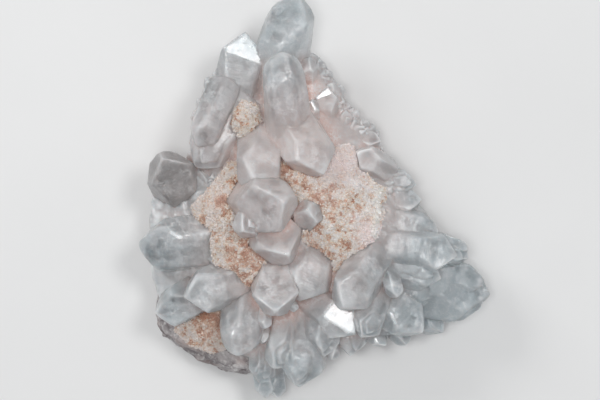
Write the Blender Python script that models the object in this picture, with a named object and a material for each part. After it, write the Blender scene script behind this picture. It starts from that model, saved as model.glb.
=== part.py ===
"""Rhodochrosite on quartz: a cabinet mineral specimen, lying on the sawn back of its matrix.

A slab of grey matrix carries a bed of massive quartz with its crowded crystals, several quartz crystals that
stand clear of them, and the crust of rhodochrosite between them. +Y is the way the tallest crystal points,
+Z is up out of the crystals' side, and the origin is under the middle of the bounding box.
"""

import math
import random

import bmesh
import bpy
from mathutils import Matrix, Vector, geometry, noise

# Driving dimensions, in millimetres and degrees
MM = 0.001
GAP = 0.3
CENTRE = (0.0, -0.4)
POLE = (-5.0, -2.0)
BED_RIM_HEIGHT = 12.0
BED_CROWN = 12.5
BED_UNDERSIDE = 3.0
BED_SPOKES = 54
MATRIX_INSET = 2.0
MATRIX_TOP_RIM = 9.0
MATRIX_CROWN = 6.0
MATRIX_LEDGE = 7.6
MATRIX_LEDGE_ANGLE = -122.5
MATRIX_LEDGE_SPREAD = 22.0
MATRIX_SPOKES = 48
CRUST_RIM = 0.9
CRUST_SHOULDER = 4.0
CRUST_STEP = 2.0
CRUST_FLOOR = 9.0
PYRAMID_SLOPE = 51.8
PRISM_TAPER = 2.5
SEED = 7

# Outline of the quartz bed seen from above, clockwise from the foot of the tallest crystal
BED_OUTLINE = (
    (-13.3, 34.8), (-3.8, 37.0), (1.0, 36.6), (3.8, 32.4), (6.2, 28.8), (7.4, 24.0), (10.6, 21.0), (14.6, 17.4),
    (16.4, 13.2), (19.6, 8.8), (23.8, 4.0), (26.8, -1.6), (30.2, -6.6), (33.6, -12.0), (36.4, -17.8),
    (34.6, -25.0), (30.2, -31.4), (23.4, -35.4), (14.2, -36.6), (5.0, -38.4), (-2.5, -40.6),
    (-9.3, -42.6), (-15.0, -42.0), (-21.8, -39.8), (-28.8, -36.2), (-35.4, -32.2), (-39.6, -27.0),
    (-41.2, -20.8), (-41.8, -14.5), (-42.2, -7.5), (-41.8, -0.8), (-38.8, 2.4), (-32.5, 4.8),
    (-32.2, 10.5), (-31.2, 16.8), (-30.6, 22.2), (-28.2, 28.2), (-24.9, 33.4), (-19.3, 36.6),
)

# Crystals: name, foot, tip, width, roll of the prism about its axis, and how deep its leading face cuts.
# At a roll of 90 the leading face looks upwards, at 30 an edge between two leading faces does.
TOP_CRYSTALS = (
    ("spire", (-10.0, 24.3, 11.0), (-5.4, 52.2, 26.0), 13.2, 50, 0.30),
    ("front_spire", (-5.8, 11.8, 19.0), (-8.0, 38.3, 35.0), 11.6, 78, 0.16),
    ("facet_crystal", (-21.0, 22.0, 12.0), (-16.6, 41.8, 24.0), 11.0, 100, 0.30),
    ("shoulder", (-18.8, 22.0, 14.0), (-28.2, 28.6, 21.0), 10.0, 40, 0.10),
    ("flank_front", (-21.6, 28.6, 18.0), (-29.2, 11.0, 26.5), 8.4, 70, 0.12),
    ("flank_middle", (-17.2, 24.2, 15.0), (-30.3, 6.2, 21.0), 11.4, 84, 0.10),
    ("flank_back", (-16.2, 18.0, 10.0), (-27.2, 2.2, 15.5), 11.2, 64, 0.10),
    ("hanging_crystal", (-13.2, 14.6, 14.0), (-14.3, 3.2, 35.0), 11.8, 66, 0.10),
    ("sloping_crystal", (-7.0, 19.8, 19.0), (2.8, 4.8, 31.5), 12.6, 66, 0.10),
)
LOWER_CRYSTALS = (
    ("behind_pyramid", (0.8, -12.0, 15.0), (-3.2, -25.8, 29.5), 11.6, 76, 0.12),
    ("sliver", (-6.8, -24.5, 20.0), (-4.5, -28.3, 27.0), 2.6, 30, 0.0),
    ("between_upper", (-13.3, -25.8, 17.0), (-12.0, -33.0, 25.0), 3.8, 50, 0.0),
    ("between_lower", (-12.5, -30.2, 13.0), (-12.7, -36.8, 21.0), 3.6, 80, 0.0),
    ("bottom_left", (-6.3, -29.5, 13.0), (-9.6, -43.4, 23.5), 8.6, 52, 0.08),
    ("bottom_middle", (-2.5, -30.0, 12.0), (-3.2, -48.4, 24.0), 11.8, 74, 0.14),
    ("bottom_right", (0.8, -27.5, 14.0), (3.0, -40.2, 24.0), 8.8, 60, 0.10),
    ("foot_filler", (-12.4, -36.0, 9.0), (-13.3, -48.6, 12.6), 7.4, 70, 0.06),
    ("foot_tip_left", (-13.2, -41.5, 8.0), (-12.2, -51.4, 13.0), 5.0, 84, 0.10),
    ("foot_tip_right", (-10.8, -41.5, 7.0), (-9.0, -51.7, 11.0), 5.6, 60, 0.10),
    ("edge_tooth", (5.0, -32.5, 11.0), (4.5, -41.4, 17.0), 4.2, 40, 0.0),
    ("edge_lobe", (9.2, -30.5, 11.0), (9.3, -40.8, 17.5), 8.4, 82, 0.10),
    ("mirror_crystal", (-0.8, -25.0, 15.0), (10.2, -34.4, 27.0), 9.4, 92, 0.20),
)
RIGHT_CRYSTALS = (
    ("leaning_crystal", (15.4, -14.8, 16.0), (6.2, -28.0, 33.0), 11.2, 80, 0.14),
    ("leaning_under", (16.2, -21.5, 15.0), (12.0, -35.6, 26.5), 8.2, 60, 0.08),
    ("low_right", (14.2, -24.5, 12.0), (28.2, -34.0, 22.0), 11.0, 70, 0.12),
    ("right_ledge", (17.5, -16.8, 15.0), (32.2, -20.6, 24.0), 8.6, 84, 0.14),
    ("right_under", (16.2, -21.0, 11.0), (31.4, -25.4, 18.0), 9.0, 88, 0.12),
    ("right_upper", (18.6, -13.0, 16.0), (36.2, -14.6, 26.0), 9.8, 76, 0.14),
    ("right_striped", (30.5, -12.4, 13.0), (39.3, -15.4, 18.5), 7.4, 60, 0.10),
    ("right_point", (24.0, -22.8, 8.5), (46.0, -25.0, 15.0), 15.0, 70, 0.10),
    ("right_brown", (25.5, -29.0, 8.0), (33.4, -34.6, 11.0), 6.8, 50, 0.08),
    ("glint_tooth", (13.5, -33.5, 8.5), (18.4, -38.0, 12.5), 4.6, 70, 0.0),
    ("low_tooth", (20.5, -32.0, 8.5), (23.4, -38.0, 12.0), 5.8, 40, 0.0),
    ("ridge_blade", (17.2, -15.2, 17.0), (20.6, -25.4, 26.0), 5.2, 54, 0.0),
    ("shelf_lower", (19.0, -6.0, 13.5), (32.3, -9.8, 19.0), 8.4, 80, 0.12),
    ("shelf_middle", (20.0, -2.0, 13.0), (27.6, -0.4, 17.0), 7.6, 62, 0.10),
    ("shelf_upper", (18.5, 3.4, 12.0), (26.3, 3.2, 15.5), 6.6, 82, 0.10),
    ("window_crystal", (18.5, 6.4, 13.0), (10.6, 11.2, 22.5), 6.6, 88, 0.14),
    ("flank_tooth", (11.5, 13.5, 11.0), (17.0, 14.0, 15.0), 5.6, 50, 0.0),
    ("glint_crystal", (2.5, 19.5, 13.0), (3.4, 27.2, 21.0), 5.6, 92, 0.20),
    ("glint_small", (-1.2, 17.5, 16.0), (-0.7, 24.0, 24.0), 4.8, 70, 0.06),
    ("spire_foot", (-2.2, 26.5, 13.0), (-1.4, 35.2, 20.0), 5.2, 40, 0.0),
)
SIDE_CRYSTALS = (
    ("smoky_side", (-26.0, -2.0, 8.0), (-29.8, 7.2, 18.0), 7.2, 60, 0.06),
    ("left_under", (-24.0, -19.4, 8.5), (-37.8, -21.0, 13.5), 9.4, 86, 0.12),
)

# Crystals that stand clear of the crowded ones, by the node that each of them is or shares
FREE_CRYSTALS = {
    "centre_crystals": (
        ("centre_large", (-15.4, -1.8, 17.0), (-8.6, -2.3, 42.5), 14.2, 124, 0.20),
        ("centre_lower", (-13.0, -6.2, 16.0), (-6.4, -14.0, 34.0), 12.8, 70, 0.16),
        ("centre_small", (-15.2, -3.8, 20.0), (-17.3, -8.6, 34.0), 7.4, 60, 0.08),
    ),
    "small_clear_crystal": (("clear", (-1.0, -5.8, 15.0), (-2.0, -4.2, 32.0), 7.6, 40, 0.12),),
    "smoky_crystal": (("smoky", (-33.8, 1.4, 8.5), (-37.4, 8.6, 27.0), 11.6, 90, 0.20),),
    "left_long_crystal": (("left_long", (-22.5, -10.8, 13.0), (-45.4, -12.8, 21.5), 13.0, 70, 0.10),),
    "lower_left_crystals": (
        ("lower_left_outer", (-25.5, -23.0, 11.0), (-40.4, -30.2, 20.5), 10.6, 66, 0.14),
        ("lower_left_inner", (-19.5, -21.2, 16.0), (-32.6, -25.0, 28.0), 10.4, 86, 0.24),
    ),
    "lower_long_crystal": (("lower_long", (-17.2, -22.5, 12.0), (-18.8, -41.6, 27.0), 11.8, 66, 0.08),),
    "pyramid_crystal": (("pyramid", (-9.6, -20.0, 17.0), (-9.6, -26.6, 36.0), 11.2, 92, 0.28),),
}

# Patches of the rhodochrosite crust: thickness at the middle, and outline seen from above
CRUST_PATCHES = {
    "crust_left": (2.4, (
        (-30.6, -2.8), (-25.8, 2.3), (-20.8, 8.5), (-16.2, 5.5), (-13.2, 1.8), (-13.0, -8.2), (-7.5, -13.2),
        (-10.8, -18.8), (-15.0, -23.2), (-18.0, -21.0), (-22.5, -18.8), (-25.0, -16.2), (-25.8, -8.8), (-28.8, -5.8),
    )),
    "crust_right": (2.6, (
        (-10.0, 6.2), (-7.5, 9.4), (-3.8, 7.0), (2.8, 7.0), (3.8, 12.2), (8.8, 13.0), (12.0, 9.0), (15.0, 2.6),
        (18.0, 2.0), (17.4, -4.0), (15.4, -10.2), (11.8, -13.2), (7.5, -17.6), (3.8, -18.6), (1.3, -13.2),
        (-3.8, -10.8), (-5.0, -2.0), (-7.5, 1.8),
    )),
    "crust_upper": (7.0, (
        (-19.4, 26.2), (-14.8, 24.0), (-13.2, 18.8), (-16.0, 14.0), (-21.8, 14.6), (-22.8, 19.8),
    )),
    "crust_lower": (2.2, (
        (-31.2, -29.0), (-28.0, -27.4), (-23.2, -28.0), (-22.4, -34.0), (-22.4, -38.2), (-25.8, -39.4),
        (-31.0, -37.4), (-35.0, -33.6),
    )),
}

# Stretches of the rim that carry a druse of small crystals, as outline angles, with the number of crystals
RIM_DRUSES = ((8.0, 76.0, 22), (122.0, 172.0, 15), (-178.0, -166.0, 3), (-84.0, -20.0, 14))

MATERIALS = {
    "quartz": ((0.74, 0.75, 0.77), 0.2),
    "smoky_quartz": ((0.42, 0.40, 0.39), 0.15),
    "rhodochrosite": ((0.80, 0.62, 0.54), 0.7),
    "matrix": ((0.42, 0.40, 0.39), 0.85),
}


def outline_reach(outline, angle):
    """Distance from the pole to the outline, along the ray at this angle in radians."""
    ray = Vector((math.cos(angle), math.sin(angle)))
    pole = Vector(POLE)
    corners = [Vector(p) - pole for p in outline]
    for a, b in zip(corners, corners[1:] + corners[:1]):
        side = b - a
        slope = ray.x * side.y - ray.y * side.x
        if abs(slope) < 1e-9:
            continue
        along_side = (ray.y * a.x - ray.x * a.y) / slope
        reach = (a.x * side.y - a.y * side.x) / slope
        if -1e-6 <= along_side <= 1 + 1e-6 and reach > 0:
            return reach
    raise ValueError("the outline has to run round the pole")


def lump(point, size, strength):
    """Smooth noise for a surface point, in millimetres."""
    return strength * noise.noise(Vector(point) / size)


def bed_height(x, y):
    """Height of the quartz bed's upper side, without its lumps."""
    offset = Vector((x, y)) - Vector(POLE)
    share = offset.length / outline_reach(BED_OUTLINE, math.atan2(offset.y, offset.x))
    return BED_RIM_HEIGHT + BED_CROWN * (1 - min(share, 1.0) ** 2)


def matrix_reach(angle):
    """The matrix stays inside the bed, but for a bare ledge at the lower left."""
    turn = math.remainder(math.degrees(angle) - MATRIX_LEDGE_ANGLE, 360.0)
    ledge = MATRIX_LEDGE * math.exp(-((turn / MATRIX_LEDGE_SPREAD) ** 8))
    return outline_reach(BED_OUTLINE, angle) - MATRIX_INSET + ledge


def shell(name, spokes, rings, floor, crown):
    """Closed body from rings of points. A ring is a function of the angle that gives (reach, height)."""
    mesh = bmesh.new()
    loops = []
    for ring in rings:
        loop = []
        for i in range(spokes):
            angle = 2 * math.pi * i / spokes
            reach, height = ring(angle)
            spot = (POLE[0] + reach * math.cos(angle), POLE[1] + reach * math.sin(angle), height)
            loop.append(mesh.verts.new(spot))
        loops.append(loop)
    for lower, upper in zip(loops, loops[1:]):
        for i in range(spokes):
            j = (i + 1) % spokes
            mesh.faces.new((lower[i], lower[j], upper[j], upper[i]))
    for loop, height in ((loops[0], floor), (loops[-1], crown)):
        centre = mesh.verts.new((POLE[0], POLE[1], height))
        for i in range(spokes):
            mesh.faces.new((loop[i], loop[(i + 1) % spokes], centre))
    return finished(name, mesh)


def finished(name, mesh):
    """Object from a bmesh in millimetres, with its faces pointing out."""
    bmesh.ops.triangulate(mesh, faces=[f for f in mesh.faces if len(f.verts) == 4])
    bmesh.ops.recalc_face_normals(mesh, faces=mesh.faces)
    bmesh.ops.translate(mesh, vec=(-CENTRE[0], -CENTRE[1], 0.0), verts=mesh.verts)
    bmesh.ops.transform(mesh, matrix=Matrix.Scale(MM, 4), verts=mesh.verts)
    data = bpy.data.meshes.new(name)
    mesh.to_mesh(data)
    mesh.free()
    piece = bpy.data.objects.new(name, data)
    bpy.context.scene.collection.objects.link(piece)
    return piece


def quartz_bed(grow=0.0):
    """Dome of massive quartz that the crowded crystals grow from, larger all round by grow."""

    def wall(share, height):
        def ring(angle):
            rough = lump((20 * math.cos(angle), 20 * math.sin(angle), height), 4.0, 0.7)
            return outline_reach(BED_OUTLINE, angle) * share + rough + grow, height

        return ring

    def dome(share):
        def ring(angle):
            reach = outline_reach(BED_OUTLINE, angle) * share
            x, y = POLE[0] + reach * math.cos(angle), POLE[1] + reach * math.sin(angle)
            return reach, bed_height(x, y) + lump((x, y, 0), 5.0, 1.4) + grow

        return ring

    rings = [wall(0.93, BED_UNDERSIDE - grow), wall(0.985, 6.0), wall(0.995, 9.5)]
    rings += [dome(share) for share in (0.965, 0.86, 0.7, 0.5, 0.25)]
    crown = bed_height(POLE[0] + 0.01, POLE[1]) + grow
    return shell("quartz_bed", BED_SPOKES, rings, BED_UNDERSIDE - grow, crown)


def matrix_rock(grow=0.0):
    """Rough slab of rock with a sawn flat back and a ledge that shows at the lower left."""

    def side(inset, height, rough):
        def ring(angle):
            jag = lump((30 * math.cos(angle), 30 * math.sin(angle), 3 * height), 3.5, rough)
            return matrix_reach(angle) - inset + jag + grow, height

        return ring

    def top(share):
        def ring(angle):
            reach = matrix_reach(angle) * share
            x, y = POLE[0] + reach * math.cos(angle), POLE[1] + reach * math.sin(angle)
            height = MATRIX_TOP_RIM + MATRIX_CROWN * (1 - share**2)
            return reach + grow * share, height + lump((x, y, 9), 4.0, 1.2) + grow

        return ring

    rings = [side(2.4, 0.0, 0.8), side(1.0, 1.2, 1.4), side(0.2, 3.6, 2.0), side(0.0, 6.2, 2.0)]
    rings += [top(share) for share in (0.965, 0.8, 0.45)]
    return shell("matrix", MATRIX_SPOKES, rings, 0.0, MATRIX_TOP_RIM + MATRIX_CROWN + grow)


def crystal_planes(name, foot, tip, width, roll, slant):
    """Point and outward normal of each flat face of a quartz crystal: six prism faces, six pyramid faces, a foot."""
    chance = random.Random(name)
    foot, tip = Vector(foot), Vector(tip)
    axis = (tip - foot).normalized()
    across = Vector((0, 0, 1)).cross(axis).normalized()
    over = axis.cross(across)
    middle = foot.lerp(tip, 0.5)
    taper, slope = math.radians(PRISM_TAPER), math.radians(PYRAMID_SLOPE)
    planes = [(foot, -axis)]
    for k in range(6):
        turn = math.radians(roll + 60 * k)
        out = math.cos(turn) * across + math.sin(turn) * over
        half = width / 2 * chance.uniform(0.9, 1.04)
        planes.append((middle + out * half, out * math.cos(taper) + axis * math.sin(taper)))
        face = out * math.sin(slope) + axis * math.cos(slope)
        leading = k % 2 == 0
        rise = chance.uniform(-0.04, 0.0) if leading else chance.uniform(0.03, 0.11)
        if k == 0:
            rise -= slant
        planes.append((tip + face * (rise * width), face))
    return planes


def crystal(name, foot, tip, width, roll, slant, grow=0.0):
    """Solid between a crystal's planes, each moved out by grow."""
    mesh = bmesh.new()
    bmesh.ops.create_cube(mesh, size=160.0, matrix=Matrix.Translation(Vector(foot)))
    for point, normal in crystal_planes(name, foot, tip, width, roll, slant):
        cut = bmesh.ops.bisect_plane(
            mesh,
            geom=mesh.verts[:] + mesh.edges[:] + mesh.faces[:],
            plane_co=point + normal * grow,
            plane_no=normal,
            clear_outer=True,
        )
        edges = [e for e in cut["geom_cut"] if isinstance(e, bmesh.types.BMEdge)]
        if edges:
            bmesh.ops.holes_fill(mesh, edges=edges, sides=0)
    return finished(name, mesh)


def rim_druse():
    """Rows of the small crystals that roughen the rim."""
    chance = random.Random(SEED)
    rows = []
    for stretch, (first, last, count) in enumerate(RIM_DRUSES):
        for i in range(count):
            degrees = first + (last - first) * (i + chance.uniform(0.2, 0.8)) / count
            angle = math.radians(degrees)
            out = Vector((math.cos(angle), math.sin(angle), 0))
            reach = outline_reach(BED_OUTLINE, angle) * chance.uniform(0.86, 0.97)
            spot = Vector((POLE[0], POLE[1], 0)) + out * reach
            lean = Vector((chance.uniform(-0.5, 0.5), chance.uniform(-0.5, 0.5), chance.uniform(0.1, 1.1)))
            foot = Vector((spot.x, spot.y, bed_height(spot.x, spot.y) - chance.uniform(1.5, 5.0)))
            foot -= out * 2.0
            width = chance.uniform(2.0, 3.8)
            tip = foot + (out + lean).normalized() * (width * chance.uniform(1.0, 1.5) + 1.4)
            rows.append((f"druse_{stretch}_{i}", tuple(foot), tuple(tip), width, chance.uniform(0, 60), 0.0))
    return rows


def rim_distance(spot, corners):
    """Distance from a point to the nearest side of an outline."""
    nearest = math.inf
    for a, b in zip(corners, corners[1:] + corners[:1]):
        foot, share = geometry.intersect_point_line(spot, a, b)
        foot = a.lerp(b, min(max(share, 0.0), 1.0))
        nearest = min(nearest, (spot - foot).length)
    return nearest


def crust_patch(name, thickness, outline):
    """Lumpy layer of crust over its outline. It reaches down into the bed, which is cut from it later."""
    chance = random.Random(name)
    corners = [Vector(p) for p in outline]
    rim = []
    for a, b in zip(corners, corners[1:] + corners[:1]):
        steps = max(1, round((b - a).length / CRUST_STEP))
        rim += [a.lerp(b, i / steps) for i in range(steps)]
    count = len(rim)
    spots = list(rim)
    xs, ys = [p.x for p in rim], [p.y for p in rim]
    y = min(ys)
    while y < max(ys):
        x = min(xs)
        while x < max(xs):
            spot = Vector((x, y)) + Vector((chance.uniform(-0.4, 0.4), chance.uniform(-0.4, 0.4))) * CRUST_STEP
            if rim_distance(spot, corners) > 0.5 * CRUST_STEP:
                spots.append(spot)
            x += CRUST_STEP
        y += CRUST_STEP
    sides = [(i, (i + 1) % count) for i in range(count)]
    found = geometry.delaunay_2d_cdt(spots, sides, [], 1, 1e-5)
    flat, faces = found[0], found[2]

    mesh = bmesh.new()
    upper, lower = {}, {}
    for i in sorted({i for face in faces for i in face}):
        x, y = flat[i]
        inward = min(rim_distance(flat[i], corners) / CRUST_SHOULDER, 1.0)
        lift = CRUST_RIM + (thickness - CRUST_RIM) * inward + lump((x, y, 4), 2.4, 1.5)
        upper[i] = mesh.verts.new((x, y, bed_height(x, y) + max(lift, CRUST_RIM)))
        lower[i] = mesh.verts.new((x, y, CRUST_FLOOR))
    uses = {}
    for face in faces:
        mesh.faces.new([upper[i] for i in face])
        mesh.faces.new([lower[i] for i in reversed(face)])
        for i, j in zip(face, face[1:] + face[:1]):
            uses.setdefault(frozenset((i, j)), []).append((i, j))
    for turns in uses.values():
        if len(turns) == 1:
            i, j = turns[0]
            mesh.faces.new((upper[j], upper[i], lower[i], lower[j]))
    return finished(name, mesh)


def combine(piece, operands, operation):
    """Joins or cuts piece with the operands, which are used up, and keeps the largest body that results."""
    scene = bpy.context.scene.collection
    holder = bpy.data.collections.new("operands")
    scene.children.link(holder)
    for operand in operands:
        scene.objects.unlink(operand)
        holder.objects.link(operand)
    modifier = piece.modifiers.new("combine", "BOOLEAN")
    modifier.operand_type = "COLLECTION"
    modifier.collection = holder
    modifier.operation = operation
    modifier.solver = "EXACT"
    bpy.context.view_layer.update()
    graph = bpy.context.evaluated_depsgraph_get()
    result = bpy.data.meshes.new_from_object(piece.evaluated_get(graph))
    piece.modifiers.clear()
    piece.data = result
    for operand in operands:
        bpy.data.objects.remove(operand)
    bpy.data.collections.remove(holder)
    keep_largest_body(piece)


def keep_largest_body(piece):
    """Deletes the chips that a cut leaves beside the main body."""
    mesh = bmesh.new()
    mesh.from_mesh(piece.data)
    left = set(mesh.faces)
    bodies = []
    while left:
        body, edge = set(), [left.pop()]
        while edge:
            face = edge.pop()
            body.add(face)
            for neighbour in {f for e in face.edges for f in e.link_faces}:
                if neighbour in left:
                    left.remove(neighbour)
                    edge.append(neighbour)
        bodies.append(body)
    largest = max(bodies, key=lambda body: sum(f.calc_area() for f in body))
    chips = [f for body in bodies if body is not largest for f in body]
    bmesh.ops.delete(mesh, geom=chips, context="FACES")
    bmesh.ops.remove_doubles(mesh, verts=mesh.verts, dist=0.00001)
    mesh.to_mesh(piece.data)
    mesh.free()


def paint(piece, slot):
    """Gives a piece its one material."""
    colour, roughness = MATERIALS[slot]
    material = bpy.data.materials.get(slot) or bpy.data.materials.new(slot)
    material.use_nodes = True
    surface = material.node_tree.nodes["Principled BSDF"]
    surface.inputs["Base Color"].default_value = (*colour, 1.0)
    surface.inputs["Roughness"].default_value = roughness
    surface.inputs["Metallic"].default_value = 0.0
    piece.data.materials.clear()
    piece.data.materials.append(material)


def free_bodies(grow=0.0):
    """Every crystal that stands clear of the crowded ones, larger all round by grow."""
    return [crystal(*row, grow=grow) for rows in FREE_CRYSTALS.values() for row in rows]


def crowded_bodies(grow=0.0):
    """Every crystal that has grown together with the bed, larger all round by grow."""
    rows = TOP_CRYSTALS + LOWER_CRYSTALS + RIGHT_CRYSTALS + SIDE_CRYSTALS + tuple(rim_druse())
    return [crystal(*row, grow=grow) for row in rows]


def main():
    for old in list(bpy.data.objects):
        bpy.data.objects.remove(old)

    earlier = []
    for node, rows in FREE_CRYSTALS.items():
        first, *others = [crystal(*row) for row in rows]
        if others:
            combine(first, others, "UNION")
        if earlier:
            combine(first, [crystal(*row, grow=GAP) for row in earlier], "DIFFERENCE")
        first.name = node
        paint(first, "smoky_quartz" if node == "smoky_crystal" else "quartz")
        earlier += rows

    cluster = quartz_bed()
    combine(cluster, crowded_bodies(), "UNION")
    combine(cluster, [matrix_rock(grow=GAP)] + free_bodies(grow=GAP), "DIFFERENCE")
    cluster.name = "quartz_cluster"
    paint(cluster, "quartz")

    matrix = matrix_rock()
    combine(matrix, free_bodies(grow=GAP), "DIFFERENCE")
    paint(matrix, "matrix")

    for node, (thickness, outline) in CRUST_PATCHES.items():
        patch = crust_patch(node, thickness, outline)
        neighbours = [quartz_bed(grow=GAP), matrix_rock(grow=GAP)]
        combine(patch, neighbours + crowded_bodies(grow=GAP) + free_bodies(grow=GAP), "DIFFERENCE")
        paint(patch, "rhodochrosite")


main()
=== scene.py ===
"""Looks of the rhodochrosite on quartz specimen: milky crystals, grainy crusts and banded matrix."""

import math
import random

import bmesh
import bpy
import numpy as np
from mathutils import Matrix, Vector, noise


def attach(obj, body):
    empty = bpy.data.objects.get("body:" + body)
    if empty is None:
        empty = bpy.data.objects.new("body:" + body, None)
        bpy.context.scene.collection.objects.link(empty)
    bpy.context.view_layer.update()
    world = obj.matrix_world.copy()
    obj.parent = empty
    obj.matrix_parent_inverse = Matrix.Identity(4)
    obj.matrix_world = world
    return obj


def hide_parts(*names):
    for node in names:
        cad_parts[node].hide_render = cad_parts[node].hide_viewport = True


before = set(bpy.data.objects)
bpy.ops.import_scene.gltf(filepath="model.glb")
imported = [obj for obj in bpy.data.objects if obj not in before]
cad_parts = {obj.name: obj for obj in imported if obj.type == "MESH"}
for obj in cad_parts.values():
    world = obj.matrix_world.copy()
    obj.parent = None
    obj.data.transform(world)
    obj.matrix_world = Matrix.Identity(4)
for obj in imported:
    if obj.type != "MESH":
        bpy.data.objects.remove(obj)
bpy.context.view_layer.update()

# Driving dimensions, in millimetres and degrees, the same as the solids'
MM = 0.001
GAP = 0.3
CENTRE = (0.0, -0.4)
POLE = (-5.0, -2.0)
BED_RIM_HEIGHT = 12.0
BED_CROWN = 12.5
BED_UNDERSIDE = 3.0
MATRIX_INSET = 2.0
MATRIX_TOP_RIM = 9.0
MATRIX_CROWN = 6.0
MATRIX_LEDGE = 7.6
MATRIX_LEDGE_ANGLE = -122.5
MATRIX_LEDGE_SPREAD = 22.0
PYRAMID_SLOPE = 51.8
PRISM_TAPER = 2.5
SEED = 7

BED_OUTLINE = (
    (-13.3, 34.8), (-3.8, 37.0), (1.0, 36.6), (3.8, 32.4), (6.2, 28.8), (7.4, 24.0), (10.6, 21.0),
    (14.6, 17.4), (16.4, 13.2), (19.6, 8.8), (23.8, 4.0), (26.8, -1.6), (30.2, -6.6), (33.6, -12.0),
    (36.4, -17.8), (34.6, -25.0), (30.2, -31.4), (23.4, -35.4), (14.2, -36.6), (5.0, -38.4), (-2.5, -40.6),
    (-9.3, -42.6), (-15.0, -42.0), (-21.8, -39.8), (-28.8, -36.2), (-35.4, -32.2), (-39.6, -27.0),
    (-41.2, -20.8), (-41.8, -14.5), (-42.2, -7.5), (-41.8, -0.8), (-38.8, 2.4), (-32.5, 4.8),
    (-32.2, 10.5), (-31.2, 16.8), (-30.6, 22.2), (-28.2, 28.2), (-24.9, 33.4), (-19.3, 36.6),
)

# Crystals: name, foot, tip, width, roll, how deep the leading face cuts, and how sharp the edges are
TOP_CRYSTALS = (
    ("spire", (-10.0, 24.3, 11.0), (-5.4, 52.2, 26.0), 13.2, 50, 0.30, 49),
    ("front_spire", (-5.8, 11.8, 19.0), (-8.0, 38.3, 35.0), 11.6, 78, 0.16, 9),
    ("facet_crystal", (-21.0, 22.0, 12.0), (-16.6, 41.8, 24.0), 11.0, 100, 0.30, 87),
    ("shoulder", (-18.8, 22.0, 14.0), (-28.2, 28.6, 21.0), 10.0, 40, 0.10, 26),
    ("flank_front", (-21.6, 28.6, 18.0), (-29.2, 11.0, 26.5), 8.4, 70, 0.12, 14),
    ("flank_middle", (-17.2, 24.2, 15.0), (-30.3, 6.2, 21.0), 11.4, 84, 0.10, 22),
    ("flank_back", (-16.2, 18.0, 10.0), (-27.2, 2.2, 15.5), 11.2, 64, 0.10, 23),
    ("hanging_crystal", (-13.2, 14.6, 14.0), (-14.3, 3.2, 35.0), 11.8, 66, 0.10, 22),
    ("sloping_crystal", (-7.0, 19.8, 19.0), (2.8, 4.8, 31.5), 12.6, 66, 0.10, 26),
)
LOWER_CRYSTALS = (
    ("behind_pyramid", (0.8, -12.0, 15.0), (-3.2, -25.8, 29.5), 11.6, 76, 0.12, 22),
    ("sliver", (-6.8, -24.5, 20.0), (-4.5, -28.3, 27.0), 2.6, 30, 0.0, 35),
    ("between_upper", (-13.3, -25.8, 17.0), (-12.0, -33.0, 25.0), 3.8, 50, 0.0, 26),
    ("between_lower", (-12.5, -30.2, 13.0), (-12.7, -36.8, 21.0), 3.6, 80, 0.0, 26),
    ("bottom_left", (-6.3, -29.5, 13.0), (-9.6, -43.4, 23.5), 8.6, 52, 0.08, 26),
    ("bottom_middle", (-2.5, -30.0, 12.0), (-3.2, -48.4, 24.0), 11.8, 74, 0.14, 26),
    ("bottom_right", (0.8, -27.5, 14.0), (3.0, -40.2, 24.0), 8.8, 60, 0.10, 26),
    ("foot_filler", (-12.4, -36.0, 9.0), (-13.3, -48.6, 12.6), 7.4, 70, 0.06, 26),
    ("foot_tip_left", (-13.2, -41.5, 8.0), (-12.2, -51.4, 13.0), 5.0, 84, 0.10, 32),
    ("foot_tip_right", (-10.8, -41.5, 7.0), (-9.0, -51.7, 11.0), 5.6, 60, 0.10, 32),
    ("edge_tooth", (5.0, -32.5, 11.0), (4.5, -41.4, 17.0), 4.2, 40, 0.0, 29),
    ("edge_lobe", (9.2, -30.5, 11.0), (9.3, -40.8, 17.5), 8.4, 82, 0.10, 19),
    ("mirror_crystal", (-0.8, -25.0, 15.0), (10.2, -34.4, 27.0), 9.4, 92, 0.20, 87),
)
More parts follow.
